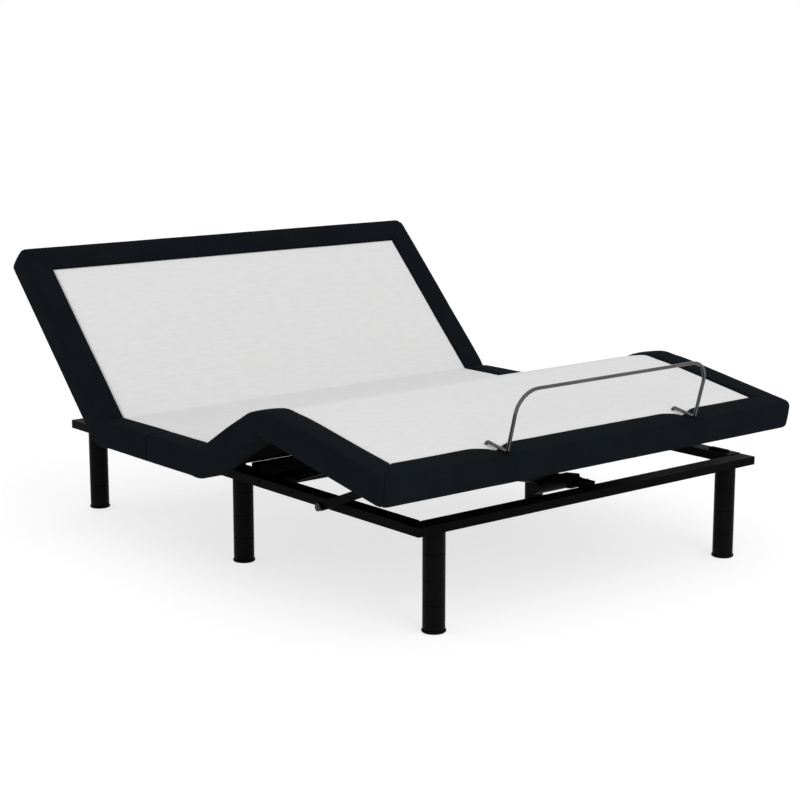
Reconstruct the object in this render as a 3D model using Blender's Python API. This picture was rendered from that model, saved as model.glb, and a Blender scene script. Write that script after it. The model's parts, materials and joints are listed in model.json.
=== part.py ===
"""Adjustable bed base: a steel frame on six legs, a four-section upholstered deck and two linear actuators.

X runs across the bed, Y from the foot (-) to the head (+) and Z up from the floor. Every deck section is
drawn flat, in the frame of its own hinge, and the hinge empties then raise it to its resting angle.
"""
import math

import bmesh
import bpy
from mathutils import Vector

# ---------------------------------------------------------------- driving dimensions, in metres
GAP = 0.0003  # clearance between pieces that rest on each other

DECK_WIDTH = 1.524
BORDER = 0.084  # width of the dark upholstered edge
BORDER_DEPTH = 0.072  # height of the upholstered edge
SEAT_TOP = 0.365
PAD = 0.036  # thickness of the foam pad on a deck board
BOARD = 0.018  # plywood
ORIGIN_SHIFT = 0.0653  # moves the model so that its origin is under the middle of its outline

HEAD_ANGLE = math.radians(45.7)
THIGH_ANGLE = math.radians(31.0)
CALF_SLOPE = math.radians(10.6)
HEAD_MAX = math.radians(60.0)
THIGH_MAX = math.radians(34.0)
KNEE_FOLD = THIGH_ANGLE + CALF_SLOPE

TOP_HINGE_DROP = 0.030  # seat hinges sit on top of the boards
KNEE_HINGE_DROP = 0.058  # the knee hinge sits under the boards
HEAD_HINGE_Y = 0.3806
THIGH_HINGE_Y = -0.1603
HEAD_LENGTH = 0.669
THIGH_LENGTH = 0.3151
CALF_LENGTH = 0.5245

RAIL_OUTER = 0.634
RAIL_WIDTH = 0.050
RAIL_TOP = 0.2925
RAIL_BOTTOM = 0.267
RAIL_WALL = 0.0025
FOOT_RAIL_FRONT = -0.945
END_RAIL_DEPTH = 0.055
END_RAIL_HEIGHT = 0.0235
RAIL_HEAD_END = 0.7616
CROSS_TUBE_Y = -0.178
CROSS_TUBE_WIDTH = 0.040
SEAT_SPACERS_Y = (-0.110, 0.340)
RAIL_PAD_Y = -0.830
LEG_PLATE = 0.005
RAIL_HOLES_Y = (-0.264, -0.418)

LEG_X = 0.551
LEG_RADIUS = 0.0295
LEG_SECTION = 0.0675
LEG_FOOT_Y = -0.907
LEG_MIDDLE_Y = {"left": -0.0657, "right": -0.112}
LEG_HEAD_Y = 0.745
GLIDE_RADIUS = 0.0320
GLIDE_HEIGHT = 0.008

LIFT_TUBE_RADIUS = 0.019
LIFT_TUBE_WALL = 0.003
LIFT_TUBE_Z = 0.2855
TRUNNION_RADIUS = 0.005
HEAD_LIFT_Y = HEAD_HINGE_Y + 0.110
FOOT_LIFT_Y = -0.285
LIFT_REACH = 0.172  # hinge to link stud, along the panel
ARM_DROP = 0.0368  # hinge to link stud, below the panel
STUD_RADIUS = 0.005
PANEL_ARM_X = 0.555
LIFT_ARM_X = 0.526
LINK_X = 0.5365

CRANK = 0.060
HEAD_SLOT = (-0.0024, 0.0086)  # travel of the clevis pin along its slot in the crank
FOOT_SLOT = (-0.0020, 0.0012)
HEAD_CRANK_X = -0.150
FOOT_CRANK_X = 0.028
HEAD_ANCHOR = (-0.123, 0.268)
FOOT_ANCHOR = (-0.838, 0.289)
HEAD_CRANK_MID = math.radians(30.0)
FOOT_CRANK_MID = math.radians(17.0)

SUPPORT_PIVOT = (-0.567, 0.2745)  # calf support link, on the outside of the side rail
SUPPORT_LENGTH = 0.300
SUPPORT_ANGLE = math.radians(22.2)
SUPPORT_X = 0.649
ROLLER_RADIUS = 0.012

BAR_HALF_WIDTH = 0.352
BAR_HEIGHT = 0.1795
BAR_RADIUS = 0.005
BAR_CORNER = 0.062
BAR_BEND = 0.0085
BAR_FOOT = 0.5110  # distance of the uprights from the knee hinge, along the calf section
BAR_SOCKET = 0.4300
BAR_LEAN = math.radians(4.0)
BAR_HOLE = 0.0065

HINGE_HALF = 0.600  # half the length of a piano hinge
HINGE_KNUCKLES = 9
KNUCKLE_RADIUS = 0.006
PIN_RADIUS = 0.0025
LEAF = 0.0025

HALF_WIDTH = DECK_WIDTH / 2
INNER_WIDTH = HALF_WIDTH - BORDER
TOP_HINGE_Z = SEAT_TOP - TOP_HINGE_DROP
BOARD_TOP = SEAT_TOP - PAD
BOARD_BOTTOM = BOARD_TOP - BOARD

# ---------------------------------------------------------------- materials
FINISHES = {
    "powder_coat": ((0.012, 0.012, 0.013), 0.45, 0.3),
    "white_fabric": ((0.72, 0.72, 0.73), 0.9, 0.0),
    "navy_fabric": ((0.007, 0.010, 0.014), 0.85, 0.0),
    "black_board": ((0.020, 0.019, 0.018), 0.8, 0.0),
    "zinc": ((0.55, 0.56, 0.58), 0.35, 1.0),
    "black_plastic": ((0.015, 0.015, 0.016), 0.5, 0.0),
    "rubber": ((0.02, 0.02, 0.02), 0.85, 0.0),
    "bar_steel": ((0.28, 0.28, 0.29), 0.25, 1.0),
}


def make_materials():
    made = {}
    for name, (colour, roughness, metallic) in FINISHES.items():
        material = bpy.data.materials.new(name)
        material.use_nodes = True
        shader = material.node_tree.nodes["Principled BSDF"]
        shader.inputs["Base Color"].default_value = (*colour, 1.0)
        shader.inputs["Roughness"].default_value = roughness
        shader.inputs["Metallic"].default_value = metallic
        made[name] = material
    return made


# ---------------------------------------------------------------- building blocks
def add_object(name, mesh_data, finish, parent, guide=False):
    """Turn a bmesh into a named object with its faces pointing out."""
    bmesh.ops.recalc_face_normals(mesh_data, faces=mesh_data.faces)
    mesh = bpy.data.meshes.new(name)
    mesh_data.to_mesh(mesh)
    mesh_data.free()
    mesh.materials.append(MATERIALS[finish])
    obj = bpy.data.objects.new(name, mesh)
    bpy.context.scene.collection.objects.link(obj)
    obj.parent = parent
    if guide:
        obj.hide_render = True
        obj.display_type = "WIRE"
    return obj


def loft(data, ring_a, ring_b):
    """Add a closed solid between two outlines with the same number of points."""
    first = [data.verts.new(point) for point in ring_a]
    second = [data.verts.new(point) for point in ring_b]
    count = len(first)
    data.faces.new(first)
    data.faces.new(second)
    for i in range(count):
        j = (i + 1) % count
        data.faces.new((first[i], first[j], second[j], second[i]))


def prism_x(data, x0, x1, outline):
    """Add an outline of (y, z) points, extruded along X."""
    loft(data, [(x0, y, z) for y, z in outline], [(x1, y, z) for y, z in outline])


def box(data, low, high):
    (x0, y0, z0), (x1, y1, z1) = low, high
    prism_x(data, x0, x1, [(y0, z0), (y1, z0), (y1, z1), (y0, z1)])


def disc_points(radius, segments):
    steps = [2 * math.pi * i / segments for i in range(segments)]
    return [(radius * math.cos(a), radius * math.sin(a)) for a in steps]


def rod_x(data, x0, x1, y, z, radius, segments=20):
    prism_x(data, x0, x1, [(y + a, z + b) for a, b in disc_points(radius, segments)])


def rod_y(data, y0, y1, x, z, radius, segments=20):
    ring = [(x + a, z + b) for a, b in disc_points(radius, segments)]
    loft(data, [(a, y0, b) for a, b in ring], [(a, y1, b) for a, b in ring])


def rod_z(data, z0, z1, x, y, radius, segments=20):
    ring = [(x + a, y + b) for a, b in disc_points(radius, segments)]
    loft(data, [(a, b, z0) for a, b in ring], [(a, b, z1) for a, b in ring])


def turned(data, centre, rings, segments=20):
    """Add a solid turned about a vertical axis, from (radius, z) rings listed upwards."""
    x, y = centre
    loops = []
    for radius, z in rings:
        points = disc_points(radius, segments)
        loops.append([data.verts.new((x + a, y + b, z)) for a, b in points])
    for lower, upper in zip(loops, loops[1:]):
        for i in range(segments):
            j = (i + 1) % segments
            data.faces.new((lower[i], lower[j], upper[j], upper[i]))
    data.faces.new(loops[0])
    data.faces.new(loops[-1])


def square_tube(name, low, high, axis, finish, parent):
    """A rectangular tube with open ends, running along axis 0 (X) or 1 (Y)."""
    data = bmesh.new()
    across = [i for i in range(3) if i != axis]
    rings = []
    for end in (low[axis], high[axis]):
        for inset in (0.0, RAIL_WALL):
            a0, a1 = low[across[0]] + inset, high[across[0]] - inset
            b0, b1 = low[across[1]] + inset, high[across[1]] - inset
            ring = []
            for a, b in ((a0, b0), (a1, b0), (a1, b1), (a0, b1)):
                point = [0.0, 0.0, 0.0]
                point[axis], point[across[0]], point[across[1]] = end, a, b
                ring.append(data.verts.new(point))
            rings.append(ring)
    outer_a, inner_a, outer_b, inner_b = rings
    for one, two in ((outer_a, outer_b), (inner_a, inner_b), (outer_a, inner_a), (outer_b, inner_b)):
        for i in range(4):
            j = (i + 1) % 4
            data.faces.new((one[i], one[j], two[j], two[i]))
    return add_object(name, data, finish, parent)


def round_off(obj, width, segments=2):
    bevel = obj.modifiers.new("edges", "BEVEL")
    bevel.width = width
    bevel.segments = segments
    bevel.limit_method = "ANGLE"
    bevel.angle_limit = math.radians(25)
    return obj


def combine(obj, operation, other):
    step = obj.modifiers.new(operation.lower(), "BOOLEAN")
    step.operation = operation
    step.solver = "EXACT"
    step.use_self = True
    step.object = other
    return obj


def shade_round(obj):
    obj.data.shade_smooth()
    obj.data.set_sharp_from_angle(angle=math.radians(35))
    return obj


def pivot(name, location, angle, parent):
    """An empty on a hinge axis, turned about X."""
    empty = bpy.data.objects.new(name, None)
    bpy.context.scene.collection.objects.link(empty)
    empty.location = location
    empty.rotation_euler.x = angle
    empty.parent = parent
    return empty


def turn(y, z, angle):
    """Turn a (y, z) point about X."""
    c, s = math.cos(angle), math.sin(angle)
    return y * c - z * s, y * s + z * c


# ---------------------------------------------------------------- base frame
def build_side_rail(name, sign, root):
    """A side rail: bolt holes, bores for the lift tubes, spacers under the seat and a plate for the leg."""
    x0, x1 = sorted((sign * RAIL_OUTER, sign * (RAIL_OUTER - RAIL_WIDTH)))
    low = (x0, FOOT_RAIL_FRONT + END_RAIL_DEPTH + GAP, RAIL_BOTTOM)
    rail = square_tube("side_rail_" + name, low, (x1, RAIL_HEAD_END, RAIL_TOP), 1, "powder_coat", root)
    plate = bmesh.new()
    y = LEG_MIDDLE_Y[name]
    inner = sign * (RAIL_OUTER - RAIL_WIDTH + 0.0015)
    ends = ((inner, RAIL_BOTTOM), (sign * (LEG_X - LEG_RADIUS - 0.006), RAIL_BOTTOM + LEG_PLATE))
    box(plate, (ends[0][0], y - 0.032, ends[0][1]), (ends[1][0], y + 0.032, ends[1][1]))
    combine(rail, "UNION", add_object("leg_plate_" + name, plate, "powder_coat", root, True))
    spacers = bmesh.new()
    for y in SEAT_SPACERS_Y:
        low = (x0 + 0.006, y - 0.030, RAIL_TOP - 0.001)
        box(spacers, low, (x1 - 0.006, y + 0.030, BOARD_BOTTOM - GAP))
    combine(rail, "UNION", add_object("seat_spacers_" + name, spacers, "powder_coat", root, True))
    holes = bmesh.new()
    for y in RAIL_HOLES_Y:
        rod_x(holes, sign * (RAIL_OUTER + 0.003), sign * (RAIL_OUTER - 0.006), y, 0.2825, 0.0045, 12)
    for y in (HEAD_LIFT_Y, FOOT_LIFT_Y):
        x0, x1 = sign * (RAIL_OUTER - RAIL_WIDTH - 0.002), sign * (RAIL_OUTER - RAIL_WIDTH + 0.006)
        rod_x(holes, x0, x1, y, LIFT_TUBE_Z, TRUNNION_RADIUS + 0.0006, 16)
    combine(rail, "DIFFERENCE", add_object("hole_cutter_" + name, holes, "powder_coat", root, True))


def build_foot_rail(root):
    """The foot rail: welded shut at its ends, open underneath where the leg bolts go in."""
    wall = RAIL_WALL
    top = RAIL_BOTTOM + END_RAIL_HEIGHT
    back = FOOT_RAIL_FRONT + END_RAIL_DEPTH
    outside = bmesh.new()
    box(outside, (-RAIL_OUTER, FOOT_RAIL_FRONT, RAIL_BOTTOM), (RAIL_OUTER, back, top))
    rail = add_object("foot_rail", outside, "powder_coat", root)
    inside = bmesh.new()
    low = (-RAIL_OUTER + wall, FOOT_RAIL_FRONT + wall, RAIL_BOTTOM + wall)
    box(inside, low, (RAIL_OUTER - wall, back - wall, top - wall))
    combine(rail, "DIFFERENCE", add_object("foot_rail_inside", inside, "powder_coat", root, True))
    holes = bmesh.new()
    for x in (-LEG_X, LEG_X):
        rod_z(holes, RAIL_BOTTOM - 0.002, RAIL_BOTTOM + 0.006, x, LEG_FOOT_Y, 0.006, 16)
    combine(rail, "DIFFERENCE", add_object("leg_bolt_holes", holes, "powder_coat", root, True))
    add_anchor(rail, "foot", FOOT_CRANK_X, FOOT_ANCHOR, back, (RAIL_BOTTOM, top), root)


def add_anchor(rail, tag, x, pin, face, heights, root):
    """Weld an actuator anchor to a rail: a plate, a web, two cheeks and the pin between them."""
    y, z = pin
    z0, z1 = heights
    plate = bmesh.new()
    box(plate, (x - 0.018, face - 0.001, z0 + 0.002), (x + 0.018, face + 0.004, z1 - 0.002))
    combine(rail, "UNION", add_object(tag + "_anchor_plate", plate, "powder_coat", root, True))
    web = bmesh.new()
    box(web, (x - 0.016, y - 0.020, z - 0.019), (x + 0.016, y - 0.016, z + 0.009))
    combine(rail, "UNION", add_object(tag + "_anchor_web", web, "powder_coat", root, True))
    cheeks = bmesh.new()
    for sign in (-1, 1):
        near, far = x + sign * 0.0068, x + sign * 0.0108
        box(cheeks, (near, face + 0.002, z - 0.013), (far, y + 0.011, z + 0.009))
    combine(rail, "UNION", add_object(tag + "_anchor_cheeks", cheeks, "powder_coat", root, True))
    shank = bmesh.new()
    rod_x(shank, x - 0.0128, x + 0.0128, y, z, STUD_RADIUS, 16)
    combine(rail, "UNION", add_object(tag + "_anchor_pin", shank, "powder_coat", root, True))


def build_frame(root):
    for name, sign in (("left", -1), ("right", 1)):
        build_side_rail(name, sign, root)
    build_foot_rail(root)
    inside = RAIL_OUTER - RAIL_WIDTH - GAP
    low = (-inside, RAIL_HEAD_END - END_RAIL_DEPTH, RAIL_BOTTOM)
    high = (inside, RAIL_HEAD_END, RAIL_BOTTOM + END_RAIL_HEIGHT)
    square_tube("head_rail", low, high, 0, "powder_coat", root)
    front, rear = CROSS_TUBE_Y - CROSS_TUBE_WIDTH / 2, CROSS_TUBE_Y + CROSS_TUBE_WIDTH / 2
    top = BOARD_BOTTOM - 0.0005
    low = (-inside, front, RAIL_BOTTOM)
    tube = square_tube("cross_tube", low, (inside, rear, top), 0, "powder_coat", root)
    add_anchor(tube, "head", HEAD_CRANK_X, HEAD_ANCHOR, rear, (RAIL_BOTTOM, top - 0.004), root)
    for name, sign in (("left", -1), ("right", 1)):
        pad = bmesh.new()
        low = (sign * (RAIL_OUTER - 0.014), RAIL_PAD_Y - 0.032, RAIL_TOP + GAP)
        box(pad, low, (sign * (RAIL_OUTER - 0.034), RAIL_PAD_Y + 0.032, RAIL_TOP + 0.006))
        round_off(add_object("rail_pad_" + name, pad, "rubber", root), 0.0015)


def build_legs(root):
    """Round legs: a stack of screwed-together sections that ends in a flanged glide."""
    spots = {
        "leg_foot_left": (-LEG_X, LEG_FOOT_Y),
        "leg_foot_right": (LEG_X, LEG_FOOT_Y),
        "leg_middle_left": (-LEG_X, LEG_MIDDLE_Y["left"]),
        "leg_middle_right": (LEG_X, LEG_MIDDLE_Y["right"]),
        "leg_head_left": (-LEG_X, LEG_HEAD_Y),
        "leg_head_right": (LEG_X, LEG_HEAD_Y),
    }
    groove = 0.0012
    top = RAIL_BOTTOM - GAP
    rings = [
        (GLIDE_RADIUS - 0.002, 0.0),
        (GLIDE_RADIUS, 0.002),
        (GLIDE_RADIUS, 0.006),
        (GLIDE_RADIUS - 0.003, GLIDE_HEIGHT),
        (LEG_RADIUS, GLIDE_HEIGHT + 0.001),
    ]
    for level in range(3):
        seam = 0.0725 + level * LEG_SECTION
        rings += [(LEG_RADIUS, seam - groove), (LEG_RADIUS - groove, seam), (LEG_RADIUS, seam + groove)]
    rings += [(LEG_RADIUS, top - groove), (LEG_RADIUS - groove, top)]
    for name, centre in spots.items():
        data = bmesh.new()
        turned(data, centre, rings, 24)
        shade_round(add_object(name, data, "black_plastic", root))


def build_control_box(root):
    """Control box with its power inlet, screwed under the seat board."""
    data = bmesh.new()
    top = BOARD_BOTTOM - GAP
    box(data, (0.160, 0.080, top - 0.045), (0.360, 0.200, top))
    case = round_off(add_object("control_box", data, "black_plastic", root), 0.005)
    data = bmesh.new()
    box(data, (0.245, 0.192, top - 0.034), (0.275, 0.210, top - 0.014))
    combine(case, "DIFFERENCE", add_object("inlet_cutter", data, "black_plastic", root, True))


# ---------------------------------------------------------------- deck sections
def crease(half_angle, side):
    """Outline points, from the hinge up to the deck surface, of an end that folds upwards."""
    shift = TOP_HINGE_DROP * math.tan(half_angle + math.radians(0.5))
    return [(side * 0.0008, 0.0), (side * (0.0012 + shift), TOP_HINGE_DROP)]


def pad_crease(half_angle, side):
    """The same for a pad, which is also cut away over the hinge knuckles and leaves."""
    slope = math.tan(half_angle + math.radians(0.5))
    clear = KNUCKLE_RADIUS + 0.0025
    shift = max(0.0012 + TOP_HINGE_DROP * slope, clear + 0.0005)
    height = min((clear - 0.0012) / slope, TOP_HINGE_DROP - 0.004)
    under = LEAF - (TOP_HINGE_Z - BOARD_TOP) + 0.0006
    reach = 0.046
    floor = BOARD_TOP + GAP - TOP_HINGE_Z
    return [
        (side * reach, floor),
        (side * reach, under),
        (side * clear, under),
        (side * clear, height),
        (side * shift, TOP_HINGE_DROP),
    ]


def side_border(name, sign, near, far_inner, far_outer, parent):
    """A side strip of the upholstered edge. near is its hinge end; the far end may be mitred."""
    top, bottom = near[-1][1], near[0][1]
    x0, x1 = sign * INNER_WIDTH, sign * HALF_WIDTH
    ends = []
    for x, far in ((x0, far_inner), (x1, far_outer)):
        outline = near + (far if isinstance(far, list) else [(far, top), (far, bottom)])
        ends.append([(x, y, z) for y, z in outline])
    data = bmesh.new()
    loft(data, ends[0], ends[1])
    return round_off(add_object(name, data, "navy_fabric", parent), 0.004)


def end_border(name, y_inner, y_outer, z0, z1, parent):
    """The mitred strip across the head or the foot of the deck."""
    plan = [
        (-INNER_WIDTH, y_inner),
        (INNER_WIDTH, y_inner),
        (HALF_WIDTH, y_outer),
        (-HALF_WIDTH, y_outer),
    ]
    data = bmesh.new()
    loft(data, [(x, y, z0) for x, y in plan], [(x, y, z1) for x, y in plan])
    return round_off(add_object(name, data, "navy_fabric", parent), 0.004)


def panel(name, finish, outline, parent):
    data = bmesh.new()
    half = INNER_WIDTH - GAP
    prism_x(data, -half, half, outline)
    return add_object(name, data, finish, parent)


def board_outline(y0, y1, top):
    return [(y0, top - BOARD), (y1, top - BOARD), (y1, top), (y0, top)]


def build_seat(root):
    """The fixed section, between the head hinge and the thigh hinge."""
    head, thigh = HEAD_HINGE_Y, THIGH_HINGE_Y
    panel("seat_board", "black_board", board_outline(thigh + 0.002, head - 0.002, BOARD_TOP), root)
    front = [(thigh + y, TOP_HINGE_Z + z) for y, z in pad_crease(THIGH_MAX / 2, 1)]
    rear = [(head + y, TOP_HINGE_Z + z) for y, z in reversed(pad_crease(HEAD_MAX / 2, -1))]
    round_off(panel("seat_pad", "white_fabric", front + rear, root), 0.002)
    bottom = SEAT_TOP - BORDER_DEPTH
    near = [(thigh + 0.0008, bottom)]
    near += [(thigh + y, TOP_HINGE_Z + z) for y, z in crease(THIGH_MAX / 2, 1)]
    far = [(head + y, TOP_HINGE_Z + z) for y, z in reversed(crease(HEAD_MAX / 2, -1))]
    far += [(head - 0.0008, bottom)]
    for name, sign in (("left", -1), ("right", 1)):
        side_border("seat_border_" + name, sign, near, far, far, root)


def build_head(hinge):
    """The head section, drawn flat, with its hinge at the origin."""
    top = TOP_HINGE_DROP
    inner = HEAD_LENGTH - BORDER
    panel("head_board", "black_board", board_outline(0.002, inner - GAP, top - PAD), hinge)
    outline = pad_crease(HEAD_MAX / 2, 1) + [(inner - GAP, top), (inner - GAP, top - PAD + GAP)]
    round_off(panel("head_pad", "white_fabric", outline, hinge), 0.002)
    bottom = top - BORDER_DEPTH
    near = [(0.0008, bottom)] + crease(HEAD_MAX / 2, 1)
    mitre = 2 * GAP
    for name, sign in (("left", -1), ("right", 1)):
        border = "head_border_" + name
        side_border(border, sign, near, inner - mitre, HEAD_LENGTH - mitre, hinge)
    end_border("head_border_top", inner, HEAD_LENGTH, bottom, top, hinge)


def build_thigh(hinge):
    """The thigh section, drawn flat, running from its hinge towards the foot."""
    top = TOP_HINGE_DROP
    knee = -THIGH_LENGTH
    panel("thigh_board", "black_board", board_outline(knee + 0.008, -0.002, top - PAD), hinge)
    outline = pad_crease(THIGH_MAX / 2, -1) + [(knee + 0.0006, top), (knee + 0.0006, top - PAD + GAP)]
    round_off(panel("thigh_pad", "white_fabric", outline, hinge), 0.002)
    bottom = top - BORDER_DEPTH
    near = [(-0.0008, bottom)] + crease(THIGH_MAX / 2, -1)
    knee_z = top - KNEE_HINGE_DROP
    closing = (knee_z - bottom) * math.tan(math.radians(27))
    far = [(knee + 0.0006, top), (knee + 0.0006, knee_z), (knee + 0.0008 + closing, bottom)]
    for name, sign in (("left", -1), ("right", 1)):
        side_border("thigh_border_" + name, sign, near, far, far, hinge)


def build_calf(hinge):
    """The calf section, drawn flat, running from the knee hinge to the foot of the bed."""
    top = KNEE_HINGE_DROP
    inner = -(CALF_LENGTH - BORDER)
    board = panel("calf_board", "black_board", board_outline(inner + GAP, -0.008, top - PAD), hinge)
    outline = board_outline(inner + GAP, -0.0006, top)
    outline[0] = (inner + GAP, top - PAD + GAP)
    outline[1] = (-0.0006, top - PAD + GAP)
    pad = round_off(panel("calf_pad", "white_fabric", outline, hinge), 0.002)
    data = bmesh.new()
    for x in (-BAR_HALF_WIDTH, BAR_HALF_WIDTH):
        rod_z(data, top - 0.080, top + 0.010, x, -BAR_SOCKET, BAR_HOLE, 16)
    cutter = add_object("socket_cutter", data, "powder_coat", hinge, True)
    combine(board, "DIFFERENCE", cutter)
    combine(pad, "DIFFERENCE", cutter)

    bottom = top - BORDER_DEPTH
    closing = -bottom * math.tan(math.radians(27))
    near = [(-0.0008 - closing, bottom), (-0.0006, 0.0), (-0.0006, top)]
    mitre = 2 * GAP
    for name, sign in (("left", -1), ("right", 1)):
        border = "calf_border_" + name
        side_border(border, sign, near, inner + mitre, -CALF_LENGTH + mitre, hinge)
    end_border("calf_border_foot", inner, -CALF_LENGTH, bottom, top, hinge)


# ---------------------------------------------------------------- butt hinges between the boards
def hinge_leaf(name, parent, origin, side, leaf_z, with_pin):
    """One leaf of a piano hinge. side is the leaf's Y direction; the pinned leaf has the even knuckles."""
    oy, oz = origin
    z0, z1 = oz + leaf_z, oz + leaf_z + LEAF
    y0, y1 = sorted((oy + side * 0.0080, oy + side * 0.040))
    plate = bmesh.new()
    box(plate, (-HINGE_HALF, y0, z0), (HINGE_HALF, y1, z1))
    leaf = add_object(name, plate, "zinc", parent)
    tabs = bmesh.new()
    rounds = bmesh.new()
    step = 2 * HINGE_HALF / HINGE_KNUCKLES
    for i in range(0 if with_pin else 1, HINGE_KNUCKLES, 2):
        a = -HINGE_HALF + i * step + GAP
        b = a + step - 2 * GAP
        ya, yb = sorted((oy + side * 0.0015, oy + side * 0.0090))
        box(tabs, (a, ya, z0), (b, yb, z1))
        rod_x(rounds, a, b, oy, oz, KNUCKLE_RADIUS, 16)
    combine(leaf, "UNION", add_object(name + "_tabs", tabs, "zinc", parent, True))
    combine(leaf, "UNION", add_object(name + "_rounds", rounds, "zinc", parent, True))
    pin = bmesh.new()
    if with_pin:
        rod_x(pin, -HINGE_HALF + 0.001, HINGE_HALF - 0.001, oy, oz, PIN_RADIUS, 12)
    else:
        rod_x(pin, -HINGE_HALF - 0.001, HINGE_HALF + 0.001, oy, oz, PIN_RADIUS + 0.0004, 12)
    operation = "UNION" if with_pin else "DIFFERENCE"
    combine(leaf, operation, add_object(name + "_pin", pin, "zinc", parent, True))


def build_hinges(root, head, thigh, knee_on_thigh, calf):
    on_top = -(TOP_HINGE_Z - BOARD_TOP) + GAP
    beneath = KNEE_HINGE_DROP - PAD - BOARD - LEAF - GAP
    head_axis, thigh_axis = (HEAD_HINGE_Y, TOP_HINGE_Z), (THIGH_HINGE_Y, TOP_HINGE_Z)
    hinge_leaf("head_hinge_fixed_leaf", root, head_axis, -1, on_top, True)
    hinge_leaf("head_hinge_moving_leaf", head, (0.0, 0.0), 1, on_top, False)
    hinge_leaf("thigh_hinge_fixed_leaf", root, thigh_axis, 1, on_top, True)
    hinge_leaf("thigh_hinge_moving_leaf", thigh, (0.0, 0.0), -1, on_top, False)
    hinge_leaf("knee_hinge_thigh_leaf", thigh, knee_on_thigh, 1, beneath, True)
    hinge_leaf("knee_hinge_calf_leaf", calf, (0.0, 0.0), -1, beneath, False)


# ---------------------------------------------------------------- lift linkages
def build_panel_brackets(prefix, side, hinge):
    """Short tubes under a deck section, each with the stud that its lift link hangs on."""
    top = BOARD_BOTTOM - GAP - TOP_HINGE_Z
    y0, y1 = sorted((side * (LIFT_REACH - 0.018), side * (LIFT_REACH + 0.055)))
    for name, sign in (("left", -1), ("right", 1)):
        x = sign * PANEL_ARM_X
        low, high = (x - 0.010, y0, top - 0.025), (x + 0.010, y1, top)
        bracket = square_tube(prefix + "_" + name, low, high, 1, "powder_coat", hinge)
        data = bmesh.new()
        x0, x1 = sign * (PANEL_ARM_X - 0.0088), sign * (LINK_X - 0.0037)
        rod_x(data, x0, x1, side * LIFT_REACH, -ARM_DROP, STUD_RADIUS, 16)
        stud = add_object("%s_%s_stud" % (prefix, name), data, "powder_coat", hinge, True)
        combine(bracket, "UNION", stud)


def bar_between(data, x0, x1, start, end, half):
    """A flat bar with rounded ends between two (y, z) points."""
    (ya, za), (yb, zb) = start, end
    heading = math.atan2(zb - za, yb - ya)
    outline = []
    for centre, begin in ((start, heading + math.pi / 2), (end, heading - math.pi / 2)):
        for i in range(9):
            a = begin + math.pi * i / 8
            outline.append((centre[0] + half * math.cos(a), centre[1] + half * math.sin(a)))
    prism_x(data, x0, x1, outline)


def build_lift_tube(name, side, crank_x, crank_angle, slot, axis):
    """Torsion tube with two lift arms and the actuator crank, drawn as it lies when the section is flat."""
    inner = RAIL_OUTER - RAIL_WIDTH
    data = bmesh.new()
    rod_x(data, 0.001 - inner, inner - 0.001, 0.0, 0.0, LIFT_TUBE_RADIUS, 24)
    tube = add_object(name, data, "powder_coat", axis)
    end = (side * LIFT_REACH, -ARM_DROP)
    arms = bmesh.new()
    studs = bmesh.new()
    for sign in (-1, 1):
        bar_between(arms, sign * (LIFT_ARM_X - 0.006), sign * (LIFT_ARM_X + 0.006), (0.0, 0.0), end, 0.014)
        rod_x(studs, sign * LIFT_ARM_X, sign * (LINK_X + 0.0037), end[0], end[1], STUD_RADIUS, 16)
    near = turn(0.0, -CRANK - slot[0], crank_angle)
    far = turn(0.0, -CRANK - slot[1], crank_angle)
    bar_between(arms, crank_x - 0.005, crank_x + 0.005, (0.0, 0.0), far, 0.0165)
    combine(tube, "UNION", add_object(name + "_arms", arms, "powder_coat", axis, True))
    combine(tube, "UNION", add_object(name + "_studs", studs, "powder_coat", axis, True))
    bores = bmesh.new()
    rod_x(bores, -0.7, 0.7, 0.0, 0.0, LIFT_TUBE_RADIUS - LIFT_TUBE_WALL, 24)
    combine(tube, "DIFFERENCE", add_object(name + "_bore", bores, "powder_coat", axis, True))
    trunnions = bmesh.new()
    for sign in (-1, 1):
        rod_x(trunnions, sign * (inner - 0.060), sign * (inner + 0.004), 0.0, 0.0, TRUNNION_RADIUS, 16)
        plug = LIFT_TUBE_RADIUS - LIFT_TUBE_WALL + 0.0005
        rod_x(trunnions, sign * (inner - 0.050), sign * (inner - 0.044), 0.0, 0.0, plug, 24)
    combine(tube, "UNION", add_object(name + "_trunnions", trunnions, "powder_coat", axis, True))
    slots = bmesh.new()
    rod_x(slots, -0.7, 0.7, 0.0, 0.0, 0.0022, 12)
    bar_between(slots, crank_x - 0.02, crank_x + 0.02, near, far, STUD_RADIUS + 0.0015)
    combine(tube, "DIFFERENCE", add_object(name + "_slot", slots, "powder_coat", axis, True))


def build_links(prefix, start, end, parent):
    """The drag links, left and right, from the lift arms (start) to the panel brackets (end)."""
    for name, sign in (("left", -1), ("right", 1)):
        data = bmesh.new()
        bar_between(data, sign * (LINK_X - 0.003), sign * (LINK_X + 0.003), start, end, 0.012)
        link = add_object(prefix + "_" + name, data, "zinc", parent)
        holes = bmesh.new()
        for y, z in (start, end):
            x0, x1 = sign * (LINK_X - 0.006), sign * (LINK_X + 0.006)
            rod_x(holes, x0, x1, y, z, STUD_RADIUS + 0.0006, 16)
        cutter = add_object("%s_%s_holes" % (prefix, name), holes, "zinc", parent, True)
        combine(link, "DIFFERENCE", cutter)


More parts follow.
